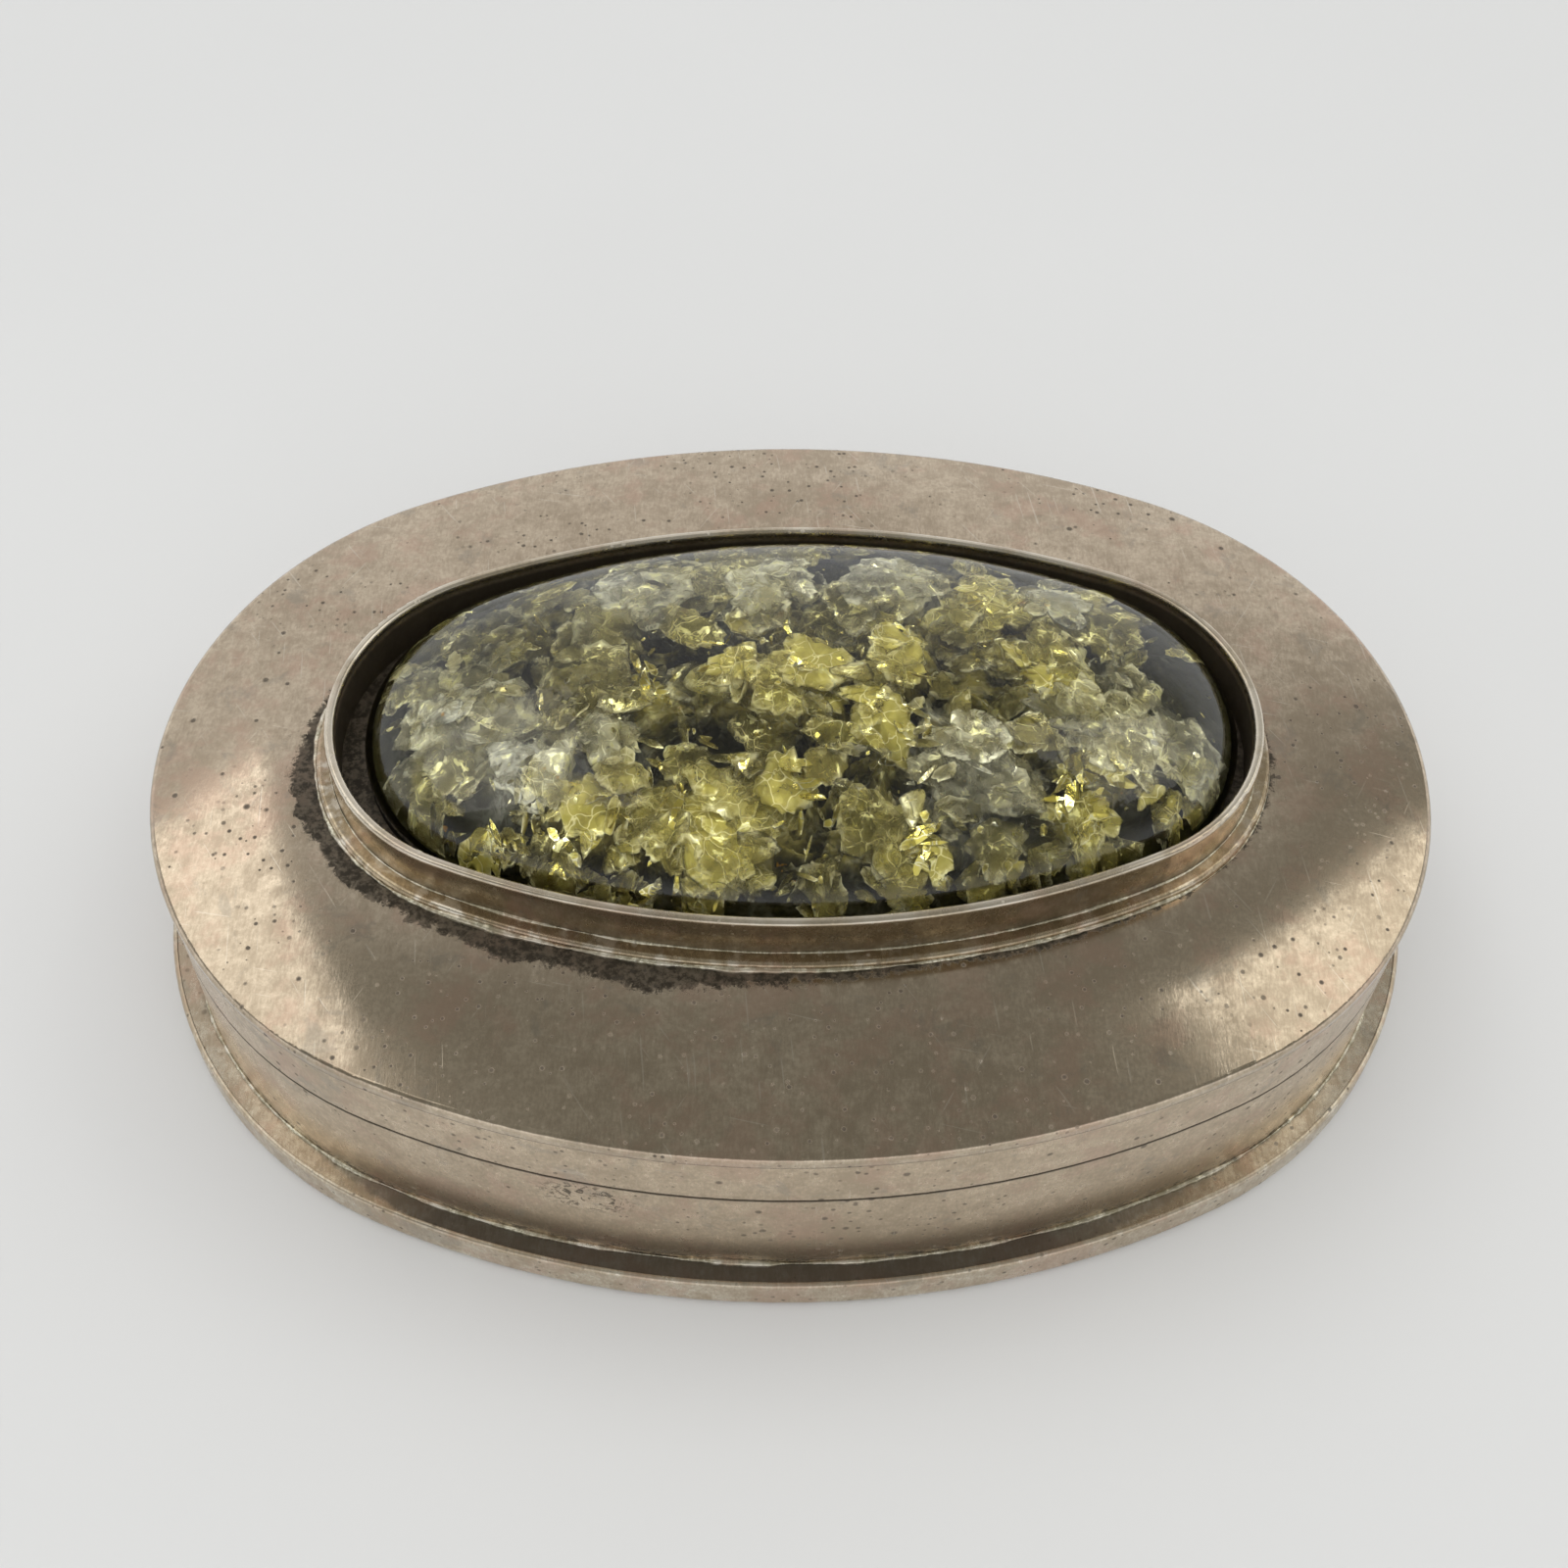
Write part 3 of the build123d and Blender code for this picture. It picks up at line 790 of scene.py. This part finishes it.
def add_flake(parts, chance, form, centre, size, lean):
    """One closed flake: two skins that meet in a torn rim, bowed, wrinkled and turned any way round."""
    vertices, faces, marks = parts
    first = len(vertices)
    sides = form.sides
    seed = Vector((chance.uniform(-90, 90), chance.uniform(-90, 90), chance.uniform(-90, 90)))
    spin = Matrix.Rotation(chance.uniform(0, 2 * math.pi), 3, "Z")
    axis = Vector((chance.uniform(-1, 1), chance.uniform(-1, 1), 0.1)).normalized()
    turn = Matrix.Rotation(lean, 3, axis) @ spin
    narrow = chance.uniform(*form.narrow)
    thickness = size * chance.uniform(*form.thick)
    bow = size * chance.uniform(*form.bow)
    yellow = min(1.0, 1.5 * nearness(centre[0], centre[1], YELLOW_PLACES))
    cloudy = min(1.0, 1.3 * nearness(centre[0], centre[1], CLOUDY_PLACES))
    tone = min(1.0, 0.2 + 0.55 * yellow + chance.uniform(0, 0.45))
    cloud = cloudy * chance.uniform(0.4, 1.0)

    def put(share, side, face):
        """One point: how far out it lies, its place round the edge, and its face, 0 on the rim."""
        angle = 2 * math.pi * side / sides
        circle = Vector((math.cos(angle), math.sin(angle), 0))
        lobe = noise.noise(circle * 0.9 + seed) + 0.5 * noise.noise(circle * 3.0 + seed)
        tear = noise.noise(circle * 7.0 + seed) * share**3
        reach = size / 2 * (1 + form.lobes * (1.3 * lobe + 0.45 * tear)) * share
        local = Vector((reach * circle.x, reach * circle.y * narrow, 0))
        wrinkle = noise.noise(local * 0.9 + seed) + 0.3 * (1 - 2 * abs(noise.noise(local * 1.6 + seed)))
        local.z = bow * share**2 + form.relief * size * wrinkle
        local.z += face * thickness / 2 * math.sqrt(max(0.0, 1 - share**2))
        point = turn @ local + Vector(centre)
        ratio = stone_ratio(point.x, point.y)
        if ratio > PLAN_LIMIT:
            point.x = stone_centre + (point.x - stone_centre) * PLAN_LIMIT / ratio
            point.y *= PLAN_LIMIT / ratio
        point.z = max(backing_top + SURFACE_MARGIN, min(point.z, amber_ceiling(point.x, point.y)))
        vertices.append(tuple(point))
        marks.append((max(0.0, (share - 0.72) / 0.28), tone, cloud, 1.0))

    for face in (1, -1):
        start = len(vertices)
        put(0, 0, face)
        for share in RING_SHARES:
            for side in range(sides):
                put(share, side, face)
        for i in range(sides):
            j = (i + 1) % sides
            rings = [start + 1 + level * sides for level in range(len(RING_SHARES))]
            skin = [(start, rings[0] + i, rings[0] + j)]
            skin += [(low + i, high + i, high + j, low + j) for low, high in zip(rings, rings[1:])]
            edge = first + 2 * (1 + len(RING_SHARES) * sides)
            skin.append((rings[-1] + i, edge + i, edge + j, rings[-1] + j))
            faces += skin if face > 0 else [tuple(reversed(corner)) for corner in skin]
    for side in range(sides):
        put(1.0, side, 0)


# How far out in the plan a flake's middle may lie.
FLAKE_LIMIT = 0.93


def flake_place(chance, spread=FLAKE_LIMIT):
    """A random place in the stone's plan."""
    while True:
        x = stone_centre + chance.uniform(-1, 1) * stone_length
        y = chance.uniform(-1, 1) * stone_width
        if stone_ratio(x, y) < spread:
            return x, y


def scatter(name, material, form, count, sizes, depths, seed, lean=0.5, crowd=None):
    """A crowd of flakes. The two depths are shares of the room from the backing up to the dome. Given
    places to crowd round, most gather there."""
    chance = random.Random(seed)
    parts = ([], [], [])
    made = 0
    while made < count:
        if crowd and chance.random() < 0.75:
            place_x, place_y, radius = chance.choice(crowd)
            x = place_x + chance.gauss(0, radius / 2)
            y = place_y + chance.gauss(0, radius / 2)
        else:
            x, y = flake_place(chance)
        if stone_ratio(x, y) > FLAKE_LIMIT or nearness(x, y, HOLLOWS) > 0.35:
            continue
        room = dome_height(x, y) - backing_top
        z = backing_top + room * chance.uniform(*depths)
        size = chance.uniform(*sizes) * (0.55 + 0.45 * min(1.0, room / 3.5))
        add_flake(parts, chance, form, (x, y, z), size, chance.gauss(0, lean))
        made += 1
    finish_amber(name, *parts, material)


def place_lumps(name, material, places, seed):
    """The large lumps that show near the surface: for each, its x, y and size."""
    chance = random.Random(seed)
    parts = ([], [], [])
    for x, y, size in places:
        z = dome_height(x, y) - LUMP_DEPTH - 0.12 * size
        add_flake(parts, chance, LUMP, (x, y, z), size, chance.gauss(0, 0.22))
    finish_amber(name, *parts, material)


# The large lumps near the surface: x, y and size in millimetres.
GLASSY_LUMPS = [
    (-14.8, -2.0, 5.8), (-15.6, 0.6, 3.6), (-12.2, -4.4, 3.4), (-8.7, -3.5, 3.2), (7.4, -5.3, 5.4),
    (8.4, -8.0, 3.4), (14.2, -2.2, 4.6), (16.6, -2.6, 3.2), (-13.0, 3.2, 4.6), (-9.5, -0.6, 4.6),
    (11.7, 1.0, 5.6), (12.2, -6.4, 3.6), (-1.5, 5.4, 4.6), (4.6, 5.8, 4.4), (-6.6, 5.6, 4.4),
    (-6.2, -7.0, 3.6), (2.6, -7.2, 3.4), (9.2, 4.6, 4.0), (-4.6, 2.4, 3.4),
]
BRIGHT_LUMPS = [
    (-9.2, -6.4, 3.8), (-3.6, -7.8, 4.2), (-0.8, -5.9, 3.0), (0.6, 0.2, 3.2), (3.6, -2.9, 3.6),
    (11.3, -0.2, 2.2), (12.4, 5.0, 2.8), (14.3, 5.8, 2.4), (13.6, -4.4, 2.2), (4.6, 1.2, 2.8),
    (-2.8, 0.2, 2.4), (5.4, -8.6, 2.2),
]


def make_bubbles(material, count, seed):
    """Air bubbles caught in the resin."""
    chance = random.Random(seed)
    vertices, faces = [], []
    segments, levels = 12, 7
    for _ in range(count):
        x, y = flake_place(chance, 0.9)
        room = dome_height(x, y) - backing_top
        radius = chance.uniform(0.05, 0.14)
        z = backing_top + room * chance.uniform(0.55, 0.88)
        rings = []
        for level in range(1, levels):
            angle = math.pi * level / levels - math.pi / 2
            reach = radius * math.cos(angle)
            height = z + radius * math.sin(angle)
            turns = [2 * math.pi * k / segments for k in range(segments)]
            rings.append([(x + reach * math.cos(t), y + reach * math.sin(t), height) for t in turns])
        points, sides = stacked_rings(rings, (x, y, z + radius))
        faces += [tuple(len(vertices) + index for index in side) for side in sides]
        vertices += points
    make_piece("resin_bubbles", vertices, faces, material, "lid")


def bubble_material():
    """Air in the resin: an index of refraction below 1, the inverse of the resin's."""
    material, _, shader, _ = new_material("air_bubble")
    shader.inputs["Base Color"].default_value = (1, 1, 0.96, 1)
    shader.inputs["Transmission Weight"].default_value = 1.0
    shader.inputs["IOR"].default_value = 0.67
    shader.inputs["Roughness"].default_value = 0.02
    return material


# ---------------------------------------------------------------- solder lines


def make_solder(name, outline, height, widths, material, body, seed):
    """A ragged bead of solder along a corner: thick in places and almost nothing in others. Its two widths
    are for the back right and for the front left of the box."""
    sides = 8
    vertices, faces = [], []
    for x, y, normal_x, normal_y in outline:
        coarse = noise.noise(Vector((x * 0.35, y * 0.35, seed)))
        fine = noise.noise(Vector((x * 1.9, y * 1.9, seed + 5)))
        fine += 0.6 * noise.noise(Vector((x * 4.5, y * 4.5, seed)))
        front_left = max(0.0, min(1.0, 0.5 - 0.6 * normal_x - 0.5 * normal_y))
        width = widths[0] + (widths[1] - widths[0]) * front_left
        radius = width * max(0.15, 0.65 + 0.9 * coarse + 0.3 * fine)
        lift = height + width * 0.35 * noise.noise(Vector((x * 0.8, y * 0.8, seed + 9)))
        for side in range(sides):
            angle = 2 * math.pi * side / sides
            out = radius * math.cos(angle)
            vertices.append((x + normal_x * out, y + normal_y * out, lift + radius * math.sin(angle)))
    count = len(outline)
    for i in range(count):
        j = (i + 1) % count
        for side in range(sides):
            after = (side + 1) % sides
            faces.append((i * sides + side, j * sides + side, j * sides + after, i * sides + after))
    make_piece(name, vertices, faces, material, body)


# ---------------------------------------------------------------- studio


# The colours of the room and of its lights.
OVERHEAD = (0.27, 0.27, 0.25, 1)
BEHIND = (0.73, 0.725, 0.72, 1)
HORIZON = (0.95, 0.96, 0.98, 1)
WHITE = (1.0, 1.0, 1.0)
STONE_WHITE = (1.0, 1.0, 0.96)
WARM_WHITE = (1.0, 0.98, 0.95)
WARMER_WHITE = (1.0, 0.98, 0.92)
FLOOR_LOW = (0.70, 0.705, 0.71, 1)
FLOOR_HIGH = (0.74, 0.745, 0.75, 1)


def make_world():
    """A soft studio room: light behind the box and along the horizon, dim overhead and in front."""
    world = bpy.data.worlds.new("studio")
    bpy.context.scene.world = world
    world.use_nodes = True
    world.node_tree.nodes.clear()
    graph = Graph(world.node_tree)
    direction = world.node_tree.nodes.new("ShaderNodeTexCoord").outputs["Generated"]
    axes = graph.add("ShaderNodeSeparateXYZ", {0: direction}).node
    rearward = graph.minus(axes.outputs[1], graph.times(axes.outputs[0], 0.16))
    colour = graph.mix(graph.step(rearward, 0.44, 0.72), OVERHEAD, BEHIND)
    colour = graph.mix(graph.step(axes.outputs[2], 0.6, 0.25), colour, HORIZON)
    background = graph.add("ShaderNodeBackground", {"Color": colour, "Strength": 1.0})
    output = world.node_tree.nodes.new("ShaderNodeOutputWorld")
    world.node_tree.links.new(background, output.inputs["Surface"])


def make_softbox(name, place, size, turn, radiance, colour, mirrored=True, only_stone=False):
    """A level rectangular light overhead, of one brightness all over. Distances are in metres and the turn
    in degrees. One that is not mirrored leaves no reflection in the metal, and one for the stone lights
    only what the resin covers."""
    data = bpy.data.lights.new(name, "AREA")
    data.shape = "RECTANGLE"
    data.size, data.size_y = size
    data.energy = radiance * math.pi * data.size * data.size_y
    data.color = colour
    light = bpy.data.objects.new(name, data)
    bpy.context.scene.collection.objects.link(light)
    light.location = place
    light.rotation_euler = (0, 0, math.radians(turn))
    light.visible_glossy = mirrored
    light.visible_diffuse = not only_stone


def make_floor():
    """A large pale surface under the box. Far off it glows, so that it meets the horizon softly."""
    reach = 2000
    corners = [(-reach, -reach, 0), (reach, -reach, 0), (reach, reach, 0), (-reach, reach, 0)]
    material, graph, shader, where = new_material("pale_floor")
    haze = graph.noise(where, 0.02, 2.0, 0.5)
    colour = graph.mix(haze, FLOOR_LOW, FLOOR_HIGH)
    graph.feed(shader.inputs["Base Color"], colour)
    shader.inputs["Roughness"].default_value = 0.7
    distance = graph.add("ShaderNodeVectorMath", {0: where}, output=1, operation="LENGTH")
    shader.inputs["Emission Color"].default_value = HORIZON
    far = graph.step(distance, 250.0, 1300.0)
    graph.feed(shader.inputs["Emission Strength"], graph.times(far, 0.5))
    mesh = bpy.data.meshes.new("floor")
    mesh.from_pydata([Vector(c) * MM for c in corners], [], [(0, 1, 2, 3)])
    mesh.materials.append(material)
    floor = bpy.data.objects.new("floor", mesh)
    bpy.context.scene.collection.objects.link(floor)


# ---------------------------------------------------------------- put together


def paint(material, *names):
    """Gives CAD nodes their material."""
    for name in names:
        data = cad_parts[name].data
        data.materials.clear()
        data.materials.append(material)


def paint_metal():
    """Gives every metal node its silver."""
    lid = silver("silver_lid", SILVER_LIGHT, SILVER_DARK, LID_FINISH, lid_ring_and_edge_reflection, lid_edge)
    wall = silver("silver_wall", WALL_LIGHT, WALL_DARK, WALL_FINISH, wall_dirt)
    bezel = silver("silver_bezel", BEZEL_LIGHT, BEZEL_DARK, BEZEL_FINISH, bezel_dark_foot_and_inner_shade, bezel_rim)
    step = silver("silver_step", BEZEL_LIGHT, BEZEL_DARK, BEZEL_FINISH, None, step_glints)
    foot = silver("silver_foot", CLEAN_LIGHT, WALL_DARK, WALL_FINISH)
    ledge = silver("silver_ledge", CLEAN_LIGHT, SILVER_DARK, BEZEL_FINISH, ledge_dark_reflection)
    inside = silver("silver_inside", CLEAN_LIGHT, CLEAN_DARK, INSIDE_FINISH)
    hinge = silver("silver_hinge", SILVER_LIGHT, SILVER_DARK, BEZEL_FINISH)
    paint(lid, "lid_plate")
    paint(wall, "lid_wall", "body_wall")
    paint(bezel, "bezel_wall")
    paint(step, "bezel_step_wire")
    paint(foot, "foot_wire")
    paint(ledge, "base_plate")
    paint(inside, "inner_liner")
    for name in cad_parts:
        if "knuckle" in name or "hinge" in name:
            paint(hinge, name)


def make_stone():
    """The backing, the dome over it and the amber between them."""
    paint(backing_material(), "stone_backing")
    make_dome(resin_material())
    make_mass(amber("amber_packed", 1.0, wrinkles=0.18))
    glassy = amber("amber_glassy", 0.08, facets=0.26)
    bright = amber("amber_bright", 0.35, 0.1, facets=0.34)
    clear = amber("amber_clear", 0.0, 0.25, rim_light=0.6)
    mirror = amber("amber_mirror", 0.9, 0.85, 0.9, rim_light=0.9)

    place_lumps("amber_lumps_glassy", glassy, GLASSY_LUMPS, 11)
    place_lumps("amber_lumps_bright", bright, BRIGHT_LUMPS, 17)
    scatter("amber_pieces", glassy, LUMP, 80, (1.6, 4.0), (0.35, 0.85), 5)
    scatter("amber_pieces_bright", bright, LUMP, 50, (0.9, 2.4), (0.4, 0.85), 7, 0.6, YELLOW_PLACES)
    scatter("amber_shells", clear, SHELL, 70, (1.4, 3.6), (0.6, 0.97), 23, 0.7)
    scatter("amber_curls", bright, CURL, 60, (0.8, 2.4), (0.5, 0.95), 27, 0.9, YELLOW_PLACES)
    scatter("amber_shards", clear, SHARD, 160, (0.6, 2.2), (0.4, 0.95), 29, 0.8)
    scatter("amber_glints", mirror, SHARD, 240, (0.3, 1.7), (0.6, 0.98), 31, 0.9, YELLOW_PLACES)
    scatter("amber_crumbs", mirror, CRUMB, 200, (0.15, 0.5), (0.5, 0.97), 37, 0.9)
    scatter("amber_rim_glints", mirror, SHARD, 70, (0.4, 1.5), (0.6, 0.98), 43, 0.8, FRONT_LEFT_RIM)
    scatter("amber_rim_pieces", bright, SHELL, 90, (0.9, 2.6), (0.1, 0.7), 47, 0.8, FRONT_RIM)
    make_bubbles(bubble_material(), 26, 41)


def make_solder_lines():
    """The beads of solder at the foot of the wall, outside the step wire and at the foot of the bezel."""
    # The solder carries the same painted glints as the step wire.
    tin = silver("solder", CRUST_LIGHT, CRUST_DARK, CRUST_FINISH, None, step_glints)
    step_top = top_of("bezel_step_wire")
    wall_foot = oval_outline(wall_length + 0.05, wall_width + 0.05, LID_END_RADIUS - 0.05, 1400)
    step_foot = oval_outline(step_length + 0.02, step_width + 0.02, BEZEL_END_RADIUS + 0.72, 1100)
    bezel_foot = oval_outline(bezel_length + 0.03, bezel_width + 0.03, BEZEL_END_RADIUS + 0.03, 900)
    for name, outline, height, widths, body, slot, seed in (
        ("solder_wall_foot", wall_foot, floor_top + 0.05, (0.15, 0.17), "base", "silver_foot", 2),
        ("solder_step", step_foot, seat_height + 0.05, (0.03, 0.19), "lid", "silver_bezel", 4),
        ("solder_bezel", bezel_foot, step_top, (0.07, 0.1), "lid", "silver_bezel", 6),
    ):
        make_solder(name, outline, height, widths, tin, body, seed)


make_camera()
make_world()
make_floor()
make_softbox("softbox_left", (-0.485, 0.15, 0.6), (0.56, 0.6), 12, 1.02, WARM_WHITE)
make_softbox("softbox_right", (0.59, 0.17, 0.6), (0.60, 0.52), 30, 1.1, WARMER_WHITE)
make_softbox(
    "stone_light", (-0.12, 0.2, 0.8), (0.55, 0.45), 0, 6.3, STONE_WHITE, mirrored=False, only_stone=True
)
make_softbox("fill_overhead", (0.0, 0.0, 0.9), (1.2, 1.2), 0, 0.85, WHITE, mirrored=False)
make_softbox("fill_front", (0.0, -0.6, 0.5), (1.0, 0.6), 0, 0.9, WHITE, mirrored=False)
bpy.context.scene.view_settings.view_transform = "Standard"
paint_metal()
make_stone()
make_solder_lines()
